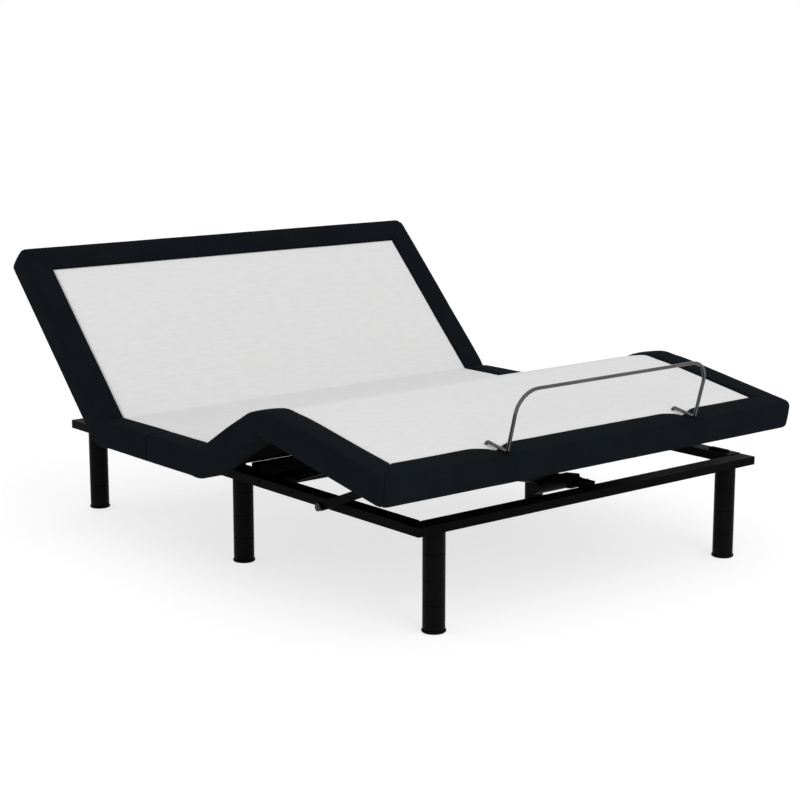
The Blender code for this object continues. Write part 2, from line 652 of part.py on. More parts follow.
# ---------------------------------------------------------------- actuators
def build_actuator(prefix, x, swing, length, tube_end, rod_start):
    """Gear housing and motor, outer tube and rod, drawn along +Y from the anchor pin."""
    housing = bmesh.new()
    box(housing, (x - 0.020, 0.014, -0.0190), (x + 0.020, 0.068, 0.0190))
    body = round_off(add_object(prefix + "_motor", housing, "black_plastic", swing), 0.004)
    extra = bmesh.new()
    rod_x(extra, x - 0.134, x - 0.018, 0.040, 0.0, 0.0190, 24)
    combine(body, "UNION", add_object(prefix + "_can", extra, "black_plastic", swing, True))
    ear = bmesh.new()
    bar_between(ear, x - 0.006, x + 0.006, (0.0, 0.0), (0.030, 0.0), 0.012)
    combine(body, "UNION", add_object(prefix + "_ear", ear, "black_plastic", swing, True))
    hole = bmesh.new()
    rod_x(hole, x - 0.02, x + 0.02, 0.0, 0.0, 0.0056, 16)
    combine(body, "DIFFERENCE", add_object(prefix + "_hole", hole, "black_plastic", swing, True))

    outer = bmesh.new()
    rod_y(outer, 0.068 + GAP, tube_end, x, 0.0, 0.017, 24)
    tube = add_object(prefix + "_tube", outer, "black_plastic", swing)
    bore = bmesh.new()
    rod_y(bore, 0.070, tube_end + 0.01, x, 0.0, 0.0108, 20)
    combine(tube, "DIFFERENCE", add_object(prefix + "_bore", bore, "black_plastic", swing, True))

    rod = bmesh.new()
    rod_y(rod, rod_start, length - 0.035, x, 0.0, 0.010, 20)
    shaft = shade_round(add_object(prefix + "_rod", rod, "bar_steel", swing))
    fork = bmesh.new()
    box(fork, (x - 0.013, length - 0.045, -0.011), (x + 0.013, length - 0.026, 0.011))
    for sign in (-1, 1):
        near, far = x + sign * 0.0065, x + sign * 0.013
        box(fork, (near, length - 0.028, -0.011), (far, length + 0.012, 0.011))
    pin = bmesh.new()
    rod_x(pin, x - 0.012, x + 0.012, length, 0.0, STUD_RADIUS, 16)
    combine(shaft, "UNION", add_object(prefix + "_fork", fork, "bar_steel", swing, True))
    combine(shaft, "UNION", add_object(prefix + "_pin", pin, "bar_steel", swing, True))


# ---------------------------------------------------------------- calf support links
def build_support_links(root):
    """Links on the outside of the side rails, with the rollers that carry the calf section."""
    y, z = SUPPORT_PIVOT
    for name, sign in (("left", -1), ("right", 1)):
        swing = pivot("calf_link_%s_axis" % name, (0.0, y, z), -SUPPORT_ANGLE, root)
        data = bmesh.new()
        x0, x1 = sign * (SUPPORT_X - 0.008), sign * (SUPPORT_X + 0.004)
        bar_between(data, x0, x1, (0.0, 0.0), (-SUPPORT_LENGTH, 0.0), 0.0115)
        link = add_object("calf_link_" + name, data, "powder_coat", swing)
        hub = bmesh.new()
        rod_x(hub, sign * (SUPPORT_X + 0.002), sign * (SUPPORT_X + 0.016), -SUPPORT_LENGTH, 0.0, ROLLER_RADIUS)
        combine(link, "UNION", add_object("calf_roller_" + name, hub, "powder_coat", swing, True))
        hole = bmesh.new()
        rod_x(hole, sign * (SUPPORT_X - 0.02), sign * (SUPPORT_X + 0.02), 0.0, 0.0, 0.0066, 16)
        combine(link, "DIFFERENCE", add_object("calf_link_hole_" + name, hole, "powder_coat", swing, True))
        spacer = bmesh.new()
        rod_x(spacer, sign * (RAIL_OUTER + GAP), sign * (SUPPORT_X - 0.0085), y, z, 0.0075)
        bolt = add_object("calf_link_bolt_" + name, spacer, "zinc", root)
        shank = bmesh.new()
        rod_x(shank, sign * (SUPPORT_X - 0.012), sign * (SUPPORT_X + 0.006), y, z, 0.006, 16)
        combine(bolt, "UNION", add_object("bolt_shank_" + name, shank, "zinc", root, True))
        cap = bmesh.new()
        rod_x(cap, sign * (SUPPORT_X + 0.0045), sign * (SUPPORT_X + 0.0130), y, z, 0.011)
        combine(bolt, "UNION", add_object("bolt_cap_" + name, cap, "zinc", root, True))


# ---------------------------------------------------------------- mattress retainer bar
def rounded_path(points, radii, steps=6):
    """A polyline through the corners, each turned into an arc of its own radius."""
    path = [Vector(points[0])]
    for before, corner, after, radius in zip(points, points[1:], points[2:], radii):
        corner = Vector(corner)
        back = (Vector(before) - corner).normalized()
        ahead = (Vector(after) - corner).normalized()
        half = back.angle(ahead) / 2
        centre = corner + (back + ahead).normalized() * radius / math.sin(half)
        start = corner + back * radius / math.tan(half)
        end = corner + ahead * radius / math.tan(half)
        a, b = start - centre, end - centre
        sweep = a.angle(b)
        for i in range(steps + 1):
            t = i / steps
            mixed = a * math.sin((1 - t) * sweep) + b * math.sin(t * sweep)
            path.append(centre + mixed / math.sin(sweep))
    path.append(Vector(points[-1]))
    return path


def build_retainer(calf):
    top = KNEE_HINGE_DROP
    rest = top + BAR_RADIUS + 0.0055
    crown = top + BAR_HEIGHT * math.cos(BAR_LEAN)
    w = BAR_HALF_WIDTH
    half = [
        (-w, -BAR_SOCKET, top - 0.045),
        (-w, -BAR_SOCKET, rest),
        (-w, -BAR_FOOT, rest),
        (-w, -BAR_FOOT - BAR_HEIGHT * math.sin(BAR_LEAN), crown),
    ]
    other = [(-x, y, z) for x, y, z in reversed(half)]
    radii = (BAR_BEND, BAR_BEND, BAR_CORNER, BAR_CORNER, BAR_BEND, BAR_BEND)
    path = rounded_path(half + other, radii)
    curve = bpy.data.curves.new("retainer_bar", "CURVE")
    curve.dimensions = "3D"
    curve.bevel_depth = BAR_RADIUS
    curve.bevel_resolution = 2
    curve.use_fill_caps = True
    spline = curve.splines.new("POLY")
    spline.points.add(len(path) - 1)
    for point, place in zip(spline.points, path):
        point.co = (*place, 1.0)
    curve.materials.append(MATERIALS["bar_steel"])
    bar = bpy.data.objects.new("retainer_bar", curve)
    bpy.context.scene.collection.objects.link(bar)
    bar.parent = calf


# ---------------------------------------------------------------- assembly
def crank_pin(axis, angle):
    y, z = turn(0.0, -CRANK, angle)
    return axis[0] + y, axis[1] + z


def place_actuator(prefix, x, anchor, axis, crank_angle, tube_end, rod_start, root):
    """Swing an actuator about its anchor until its rod end meets the crank."""
    y, z = crank_pin(axis, crank_angle)
    dy, dz = y - anchor[0], z - anchor[1]
    swing = pivot(prefix + "_axis", (0.0, *anchor), math.atan2(dz, dy), root)
    build_actuator(prefix, x, swing, math.hypot(dy, dz), tube_end, rod_start)


def main():
    root = pivot("frame_origin", (0.0, ORIGIN_SHIFT, 0.0), 0.0, None)
    build_frame(root)
    build_legs(root)
    build_control_box(root)
    build_seat(root)

    head = pivot("head_axis", (0.0, HEAD_HINGE_Y, TOP_HINGE_Z), HEAD_ANGLE, root)
    thigh = pivot("thigh_axis", (0.0, THIGH_HINGE_Y, TOP_HINGE_Z), -THIGH_ANGLE, root)
    knee = (-THIGH_LENGTH, TOP_HINGE_DROP - KNEE_HINGE_DROP)
    calf = pivot("knee_axis", (0.0, *knee), KNEE_FOLD, thigh)
    build_head(head)
    build_thigh(thigh)
    build_calf(calf)
    build_hinges(root, head, thigh, knee, calf)
    build_panel_brackets("head_bracket", 1, head)
    build_panel_brackets("thigh_bracket", -1, thigh)

    jobs = (
        ("head", 1, HEAD_LIFT_Y, HEAD_HINGE_Y, HEAD_ANGLE, HEAD_CRANK_MID, HEAD_CRANK_X, HEAD_SLOT),
        ("foot", -1, FOOT_LIFT_Y, THIGH_HINGE_Y, THIGH_ANGLE, FOOT_CRANK_MID, FOOT_CRANK_X, FOOT_SLOT),
    )
    for name, side, tube_y, hinge_y, angle, middle, crank_x, slot in jobs:
        lift = pivot(name + "_lift_axis", (0.0, tube_y, LIFT_TUBE_Z), side * angle, root)
        build_lift_tube(name + "_lift_tube", side, crank_x, -side * middle, slot, lift)
        stud = (side * LIFT_REACH, -ARM_DROP)
        link = pivot(name + "_link_axis", (0.0, *stud), -side * angle, lift)
        to_panel = (hinge_y - tube_y, TOP_HINGE_Z - LIFT_TUBE_Z)
        build_links(name + "_lift_link", (0.0, 0.0), to_panel, link)

    head_crank = HEAD_ANGLE - HEAD_CRANK_MID
    foot_crank = -(THIGH_ANGLE - FOOT_CRANK_MID)
    place_actuator(
        "head_actuator", HEAD_CRANK_X, HEAD_ANCHOR, (HEAD_LIFT_Y, LIFT_TUBE_Z), head_crank, 0.500, 0.160, root
    )
    place_actuator(
        "foot_actuator", FOOT_CRANK_X, FOOT_ANCHOR, (FOOT_LIFT_Y, LIFT_TUBE_Z), foot_crank, 0.390, 0.160, root
    )
    build_support_links(root)
    build_retainer(calf)


for old in list(bpy.data.objects):
    bpy.data.objects.remove(old, do_unlink=True)
MATERIALS = make_materials()
main()
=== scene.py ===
"""Looks of the adjustable bed base: upholstery, materials, floor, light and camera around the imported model.

The upholstery is drawn flat, with Y along the unrolled deck, and then folded at the three hinges.
"""
import json
import math

import bpy
import numpy as np
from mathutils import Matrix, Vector, noise


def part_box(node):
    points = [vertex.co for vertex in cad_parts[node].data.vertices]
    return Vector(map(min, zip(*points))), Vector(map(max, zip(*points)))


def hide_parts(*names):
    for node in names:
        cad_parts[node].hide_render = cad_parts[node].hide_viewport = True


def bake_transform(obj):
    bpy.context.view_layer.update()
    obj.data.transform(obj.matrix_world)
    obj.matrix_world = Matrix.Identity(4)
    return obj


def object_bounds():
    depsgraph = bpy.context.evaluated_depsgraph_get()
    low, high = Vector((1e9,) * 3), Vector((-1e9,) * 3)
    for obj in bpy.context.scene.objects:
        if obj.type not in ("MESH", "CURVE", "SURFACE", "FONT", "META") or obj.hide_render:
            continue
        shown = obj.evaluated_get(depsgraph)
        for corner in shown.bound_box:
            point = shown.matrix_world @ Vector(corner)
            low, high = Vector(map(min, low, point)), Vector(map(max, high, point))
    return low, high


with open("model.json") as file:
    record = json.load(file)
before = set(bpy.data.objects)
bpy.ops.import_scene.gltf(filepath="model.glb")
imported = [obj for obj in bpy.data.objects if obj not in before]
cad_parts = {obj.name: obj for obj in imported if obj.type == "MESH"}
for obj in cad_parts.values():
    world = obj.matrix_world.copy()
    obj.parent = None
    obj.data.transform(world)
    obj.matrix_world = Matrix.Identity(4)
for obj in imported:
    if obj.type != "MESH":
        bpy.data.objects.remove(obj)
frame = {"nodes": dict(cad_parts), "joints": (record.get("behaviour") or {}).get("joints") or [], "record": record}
CAD_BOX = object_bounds()

# ---------------------------------------------------------------- dimensions, in metres
HALF_WIDTH = CAD_BOX[1].x
SEAT_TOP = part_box("seat_pad")[1].z  # the face of the white cloth, where the deck is level
HEAD_LENGTH = 0.669  # from the hinge to the end of the section
THIGH_LENGTH = 0.3151
CALF_LENGTH = 0.5245
CALF_SLOPE = 10.6  # degrees below level, in the rest pose
ORIGIN_SHIFT = 0.0653  # of the frame's middle from the origin, along Y
GAP = 0.0004  # between neighbouring pieces

# the dark border, a padded roll round the white cloth
BORDER = 0.084
DEPTH = 0.0740  # from the white cloth's face to the underside
RISE = 0.005  # it stands above the white cloth
SWELL = 0.003  # and its cloth swells out past the board
CROWN = 0.002  # its top is domed
SIDE_BULGE = 0.8 * CROWN
TOP_EDGE = 0.013  # radii of its outer edges
BOTTOM_EDGE = 0.012
CORNER = 0.026  # radius of the deck's corners, seen from above
WRINKLE = 0.0011
SIDE_LEAN = 0.6  # share of a side strip that runs straight before it leans into its mitre
END_LEAN = 0.85  # and the same from the middle of an end strip

# seams
SEAM_WIDTH = 0.005
SEAM_DEPTH = 0.0016  # at the mitres
SEAT_SEAM_DEPTH = 0.0045
SEAT_SEAM = 0.102  # distance of the sewn seam of the seat from the middle of the frame

# the hooks of the retainer bar
POCKET_X = 0.352  # the cloth is let out round each hook
POCKET_WIDTH = 0.075
POCKET_DEPTH = 0.022
POCKET_ZONE = 0.08  # vertices are closer together this far either side of a hook
DENT_WIDTH = 0.018  # the border gives under a hook
DENT_REACH = 0.020  # down to this depth

# the white cloth and the pads under it
PAD = 0.0355
THIN_PAD = 0.017  # over the hinge leaves
LEAF_REACH = 0.030  # of the leaves of the head and thigh hinges
KNEE_LEAF_EXTRA = 0.030  # the knee's leaves reach further
PAD_SLOPE = 0.020  # the length over which a pad thickens again
TUCK = 0.0045  # the cloth turns down where it meets the border
TUCK_WIDTH = 0.0035
PUFF = 0.0022  # and is fuller further in
PUFF_WIDTH = 0.030
RIPPLE = 0.0007

# the bends at the hinges
BEND = 0.011  # half the length of a bend at the white cloth
OUTER_BEND = 0.034  # what is added to it at the border's outer side
KNEE_DROP = 0.058  # depth of the knee hinge under the cloth
KNEE_FLAT = 0.024  # the cloth spans the knee in a flat, this far either side of the hinge
KNEE_SOFT = 0.036  # half the length of the bend at each end of that flat
KNEE_SAG = 0.007  # the cloth gives over the knee
KNEE_SAG_WIDTH = 0.08

# spacing of the vertices
SPACING = 0.022
CLOTH_SPACING = 0.030  # across the white cloth
HINGE_SPACING = 0.003
BORDER_POCKET_SPACING = 0.008
CLOTH_POCKET_SPACING = 0.010
LEAST_SPACING = 0.0009
BESIDE_END = (0.0012, 0.0025, 0.005, 0.009, 0.013, 0.017, 0.023, 0.029, 0.035, 0.041, 0.048)
BESIDE_CLOTH_EDGE = (0.0012, 0.003, 0.006, 0.012)

JOINTS = {joint["name"]: joint for joint in frame["joints"]}
HEAD_HINGE = JOINTS["head_hinge"]["pos_m"][1:]
THIGH_HINGE = JOINTS["thigh_hinge"]["pos_m"][1:]
# a section lies flat at its joint's lower limit, so that limit gives its slope at rest
HEAD_ANGLE = -math.radians(JOINTS["head_hinge"]["range_deg"][0])
THIGH_ANGLE = -math.radians(JOINTS["thigh_hinge"]["range_deg"][0])
KNEE_FOLD = THIGH_ANGLE + math.radians(CALF_SLOPE)
KNEE_Y = THIGH_HINGE[0] - THIGH_LENGTH
KNEE_HEIGHT = SEAT_TOP - KNEE_DROP
FOOT_Y = KNEE_Y - CALF_LENGTH
HEAD_Y = HEAD_HINGE[0] + HEAD_LENGTH
SEAT_SPLIT = SEAT_SEAM + ORIGIN_SHIFT
THIGH_SPLIT = (THIGH_HINGE[0] + KNEE_Y) / 2
INNER = HALF_WIDTH - BORDER
FOOT_CLOTH = FOOT_Y + BORDER + GAP
HEAD_CLOTH = HEAD_Y - BORDER - GAP
HINGE_ZONES = ((HEAD_HINGE[0], 0.036), (THIGH_HINGE[0], 0.036), (KNEE_Y, 0.045))


# ---------------------------------------------------------------- folding the flat deck
def smooth(value):
    value = np.clip(value, 0.0, 1.0)
    return value * value * (3 - 2 * value)


def turned(y, z, pivot, angle):
    """Points (y, z) turned about an X axis through the pivot."""
    dy, dz = y - pivot[0], z - pivot[1]
    c, s = np.cos(angle), np.sin(angle)
    return pivot[0] + dy * c - dz * s, pivot[1] + dy * s + dz * c


def fold(points):
    """Flat deck points to their place on the raised sections.

    The outer edges bend more softly. The knee is two bends of half its angle, further apart towards the top,
    which together are one turn about the knee hinge.
    """
    x, y, z = points[:, 0], points[:, 1], points[:, 2]
    outward = np.clip((np.abs(x) - INNER) / BORDER, 0.0, 1.0)
    soft = BEND + OUTER_BEND * outward
    level = np.clip((z - SEAT_TOP + DEPTH) / DEPTH, 0.0, 1.0)
    flat = KNEE_FLAT * level
    fy, fz = y, z - KNEE_SAG * level * np.exp(-(((y - KNEE_Y) / KNEE_SAG_WIDTH) ** 2))
    for side in (-1, 1):
        pivot = (KNEE_Y + side * flat, KNEE_HEIGHT + flat * math.tan(KNEE_FOLD / 4))
        share = smooth((pivot[0] + KNEE_SOFT - y) / (2 * KNEE_SOFT))
        fy, fz = turned(fy, fz, pivot, KNEE_FOLD / 2 * share)
    share = smooth((THIGH_HINGE[0] + soft - y) / (2 * soft))
    fy, fz = turned(fy, fz, THIGH_HINGE, -THIGH_ANGLE * share)
    share = smooth((y - HEAD_HINGE[0] + soft) / (2 * soft))
    fy, fz = turned(fy, fz, HEAD_HINGE, HEAD_ANGLE * share)
    return np.stack([x, fy, fz], axis=1)


def round_corners(points):
    """Rounds the four corners of the deck outline, as seen from above."""
    for end, side in ((HEAD_Y, 1.0), (FOOT_Y, -1.0)):
        cx = HALF_WIDTH - CORNER
        dx = np.abs(points[:, 0]) - cx
        dy = (points[:, 1] - (end - side * CORNER)) * side
        inside = (dx > 0) & (dy > 0)
        reach = np.maximum(dx, dy)
        length = np.maximum(np.hypot(dx, dy), 1e-9)
        scale = np.where(inside, reach / length, 1.0)
        x = np.sign(points[:, 0]) * (cx + dx * scale)
        y = end - side * CORNER + side * dy * scale
        points[:, 0] = np.where(inside, x, points[:, 0])
        points[:, 1] = np.where(inside, y, points[:, 1])
    return points


def mesh_piece(name, vertices, faces, uvs, material, flat_from):
    """A mesh, smooth-shaded up to the face number flat_from. uvs holds cloth coordinates for each corner."""
    mesh = bpy.data.meshes.new(name)
    mesh.from_pydata([tuple(v) for v in vertices], [], faces)
    layer = mesh.uv_layers.new(name="cloth")
    for polygon, corners in zip(mesh.polygons, uvs):
        for loop, uv in zip(polygon.loop_indices, corners):
            layer.data[loop].uv = uv
    mesh.polygons.foreach_set("use_smooth", [index < flat_from for index in range(len(faces))])
    mesh.update()
    piece = bpy.data.objects.new(name, mesh)
    bpy.context.scene.collection.objects.link(piece)
    mesh.materials.append(material)
    return piece


# ---------------------------------------------------------------- places along and across the deck
def spread(low, high, step):
    count = max(2, int(round((high - low) / step)) + 1)
    return list(np.linspace(low, high, count))


def thinned(places):
    """The places in order, without those that almost touch the one before."""
    kept = []
    for place in sorted(places):
        if not kept or place - kept[-1] > LEAST_SPACING:
            kept.append(place)
    return kept


def stations(low, high):
    """Places along the flat deck between two ends: close together at the hinges and at the ends."""
    found = spread(low, high, SPACING)
    for hinge, reach in HINGE_ZONES:
        found += [y for y in spread(hinge - reach, hinge + reach, HINGE_SPACING) if low < y < high]
    for distance in BESIDE_END:
        found += [low + distance, high - distance]
    kept = thinned(found)
    kept[-1] = high
    return kept


def crossings(edge, spacing, pocket_spacing, beside):
    """Places across the deck from -edge to edge: close together at both ends and at the hooks."""
    found = spread(-edge, edge, spacing)
    for hook in (-POCKET_X, POCKET_X):
        found += spread(hook - POCKET_ZONE, hook + POCKET_ZONE, pocket_spacing)
    for distance in beside:
        found += [-edge + distance, edge - distance]
    return thinned(found)


def seam_dip(distance, depth=SEAM_DEPTH):
    """Depth of the cloth beside a seam, at a distance from it."""
    return depth * math.exp(-((distance / (0.4 * SEAM_WIDTH)) ** 2))


def side_dip(y):
    """Depth of the cloth beside the seams across a side of the border."""
    corners = seam_dip(y - FOOT_CLOTH) + seam_dip(y - HEAD_CLOTH)
    return corners + seam_dip(y - SEAT_SPLIT, SEAT_SEAM_DEPTH)


def pocket(x):
    """How far the cloth is let out towards the foot at a place across the bed."""
    away = min(abs(abs(x) - POCKET_X) / POCKET_WIDTH, 1.0)
    return POCKET_DEPTH * 0.5 * (1 + math.cos(math.pi * away))


def dent(x):
    """How far the border gives under each hook of the retainer bar."""
    return RISE * math.exp(-(((abs(x) - POCKET_X) / DENT_WIDTH) ** 2))


# ---------------------------------------------------------------- dark border
def quarter(out, height, radius, start, steps):
    """A quarter round about a centre, turning down from an angle in quarter turns."""
    angles = [math.pi / 2 * (start - step / steps) for step in range(steps + 1)]
    return [(out + radius * math.cos(angle), height + radius * math.sin(angle)) for angle in angles]


def border_profile():
    """Closed outline of the border: how far out from the white cloth, and how high above its face.

    The flat stretches have points along them, which carry the dome of the top and the bulge of the side.
    """
    edge = BORDER + SWELL
    outline = [(0.0, -0.0070), (0.0004, -0.0020), (0.0016, 0.0015), (0.0040, 0.0040), (0.0080, RISE)]
    outline += [(out, RISE) for out in (0.015, 0.024, 0.036, 0.048, 0.060)]
    outline += quarter(edge - TOP_EDGE, RISE - TOP_EDGE, TOP_EDGE, 1, 6)
    outline += [(edge, height) for height in (-0.020, -0.032, -0.044, -0.055)]
    outline += quarter(edge - BOTTOM_EDGE, BOTTOM_EDGE - DEPTH, BOTTOM_EDGE, 0, 5)
    outline += [(0.050, -DEPTH), (0.026, -DEPTH), (0.004, -DEPTH), (0.0, -DEPTH + 0.004)]
    outline += [(0.0, -0.050), (0.0, -0.028)]
    domed = []
    for out, height in outline:
        rise = CROWN * math.sin(math.pi * min(1.0, out / edge)) if height > -0.004 else 0.0
        bulge = SIDE_BULGE * math.sin(math.pi * min(1.0, -height / DEPTH)) if out > 0.6 * edge else 0.0
        domed.append((out + max(0.0, bulge), height + rise))
    return domed


PROFILE = border_profile()
PROFILE_LENGTH = [0.0]
for first, second in zip(PROFILE, PROFILE[1:] + PROFILE[:1]):
    PROFILE_LENGTH.append(PROFILE_LENGTH[-1] + math.dist(first, second))


def ring(place, dip, press=0.0):
    """One station of a border strip.

    place(out) gives (x, y) at a distance out from the white cloth. dip draws the whole outline in beside
    a seam, and press pushes its top down.
    """
    narrow, shallow = 1.0 - dip / (BORDER / 2), 1.0 - dip / (DEPTH / 2)
    points = []
    for out, height in PROFILE:
        x, y = place(BORDER / 2 + (out - BORDER / 2) * narrow)
        pressed = press * max(0.0, 1 + height / DENT_REACH)
        points.append((x, y, SEAT_TOP - DEPTH / 2 + (height + DEPTH / 2) * shallow - pressed))
    return points


def side_strip(sign, low, high, mitre):
    """Rings of a side strip from low to high, and their places.

    mitre is +1 where its head end meets an end strip, -1 where its foot end does, and 0 between two splits.
    """
    rings, along = [], stations(low, high)
    for y in along:
        share = (y - low if mitre > 0 else high - y) / (high - low)
        lean = mitre * float(smooth((share - SIDE_LEAN) / (1 - SIDE_LEAN)))
        rings.append(ring(lambda out: (sign * (INNER + GAP + out), y + out * lean), side_dip(y)))
    return rings, along


def end_strip(end, side):
    """Rings of the strip across one end of the deck, from left mitre to right mitre, and their places."""
    edge = INNER + GAP
    rings, along = [], crossings(edge, SPACING, BORDER_POCKET_SPACING, BESIDE_END)
    for x in along:
        dip = seam_dip(edge - x) + seam_dip(x + edge)
        lean = math.copysign(float(smooth((abs(x) / edge - END_LEAN) / (1 - END_LEAN))), x)
        let_out = pocket(x) if side < 0 else 0.0
        inner_y = end - side * (BORDER - let_out) + side * GAP
        stretch = (BORDER - let_out) / BORDER

        def place(out):
            return x + lean * out, inner_y + side * out * stretch

        rings.append(ring(place, dip, dent(x) if side < 0 else 0.0))
    return rings, along


def wrinkled(points):
    """Slow unevenness of stretched cloth, along Z and X, in the flat deck. The lower half is calmer."""
    for point in points:
        place = Vector((point[0] * 6.0, point[1] * 6.0, point[2] * 9.0))
        ripple = noise.noise(place) + 0.4 * noise.noise(place * 3.1)
        sideways = noise.noise(place + Vector((7.3, 1.1, 4.2)))
        point[2] += WRINKLE * ripple * (1.0 if point[2] > SEAT_TOP - DEPTH / 2 else 0.4)
        point[0] += math.copysign(WRINKLE, point[0]) * 0.7 * sideways
    return points


def joined(strips):
    """One run of rings from strips, each (rings, places, flipped or not). Neighbours share a mitre's ring."""
    rings, lengths = [], []
    for strip, along, flipped in strips:
        step = -1 if flipped else 1
        shared = 1 if rings else 0
        rings += strip[::step][shared:]
        lengths += along[::step][shared:]
    return rings, lengths


def border_piece(name, strips, material):
    """Joins the strips into one closed, folded mesh with capped ends."""
    rings, lengths = joined(strips)
    count = len(PROFILE)
    faces, uvs = [], []
    for r in range(len(rings) - 1):
        a, b = r * count, (r + 1) * count
        v0, v1 = lengths[r], lengths[r + 1]
        for k in range(count):
            j = (k + 1) % count
            faces.append((a + k, a + j, b + j, b + k))
            u0, u1 = PROFILE_LENGTH[k], PROFILE_LENGTH[k + 1]
            uvs.append(((u0, v0), (u1, v0), (u1, v1), (u0, v1)))
    caps = len(faces)
    last = (len(rings) - 1) * count
    for cap in (range(count - 1, -1, -1), range(last, last + count)):
        faces.append(tuple(cap))
        uvs.append([(0.0, 0.0)] * count)
    points = wrinkled(round_corners(np.concatenate(rings)))
    return mesh_piece(name, fold(points), faces, uvs, material, caps)


# ---------------------------------------------------------------- white cloth
def cloth_height(x, y, beside):
    """Height of the white cloth's face in the flat deck, at a distance beside the border."""
    dip = TUCK * math.exp(-((beside / TUCK_WIDTH) ** 2)) + seam_dip(y - SEAT_SPLIT, SEAT_SEAM_DEPTH)
    puff = PUFF * (1 - math.exp(-((beside / PUFF_WIDTH) ** 2)))
    broad = noise.noise(Vector((x * 4.0, y * 7.0, 2.0)))
    fine = noise.noise(Vector((x * 11, y * 17, 5)))
    return SEAT_TOP - dip + puff + RIPPLE * (broad + 0.5 * fine)


def pad_bottom(y):
    """Height of a pad's underside in the flat deck: higher over the hinge leaves."""
    near = min(abs(y - HEAD_HINGE[0]), abs(y - THIGH_HINGE[0]), abs(y - KNEE_Y) - KNEE_LEAF_EXTRA)
    return SEAT_TOP - THIN_PAD - (PAD - THIN_PAD) * float(smooth((near - LEAF_REACH) / PAD_SLOPE))


def slab_faces(rows, columns):
    """Faces of a slab whose upper grid of vertices comes before its lower one.

    The faces of its two ends come last, and the number of the first of them is given too.
    """
    total = rows * columns
    faces = []
    for r in range(rows - 1):
        for k in range(columns - 1):
            i = r * columns + k
            faces.append((i, i + 1, i + columns + 1, i + columns))
            faces.append((total + i, total + i + columns, total + i + columns + 1, total + i + 1))
        left, right = r * columns, (r + 1) * columns - 1
        faces.append((left, left + columns, total + left + columns, total + left))
        faces.append((right, total + right, total + right + columns, right + columns))
    ends = len(faces)
    last = (rows - 1) * columns
    for k in range(columns - 1):
        faces.append((k, total + k, total + k + 1, k + 1))
        faces.append((last + k, last + k + 1, total + last + k + 1, total + last + k))
    return faces, ends


def cloth_piece(name, low, high, material, backing):
    """A pad with its white cloth between two places along the flat deck, dark on its sides and underside."""
    edge = INNER - GAP
    at_foot, at_head = low == FOOT_CLOTH, high == HEAD_CLOTH
    rows = stations(low, high)
    columns = crossings(edge, CLOTH_SPACING, CLOTH_POCKET_SPACING, BESIDE_CLOTH_EDGE)
    top, bottom = [], []
    for y in rows:
        for x in columns:
            let_out = pocket(x) * smooth((high - y) / (high - low)) if at_foot else 0.0
            beside = min(edge - abs(x), y - low if at_foot else 1.0, high - y if at_head else 1.0)
            top.append((x, y - let_out, cloth_height(x, y, beside)))
            bottom.append((x, y - let_out, pad_bottom(y)))
    points = np.array(top + bottom, float)
    faces, ends = slab_faces(len(rows), len(columns))
    uvs = [[tuple(points[i][:2]) for i in face] for face in faces]
    piece = mesh_piece(name, fold(points), faces, uvs, material, ends)
    piece.data.materials.append(backing)
    for polygon in piece.data.polygons:
        if any(index >= len(top) for index in polygon.vertices):
            polygon.material_index = 1
    return piece


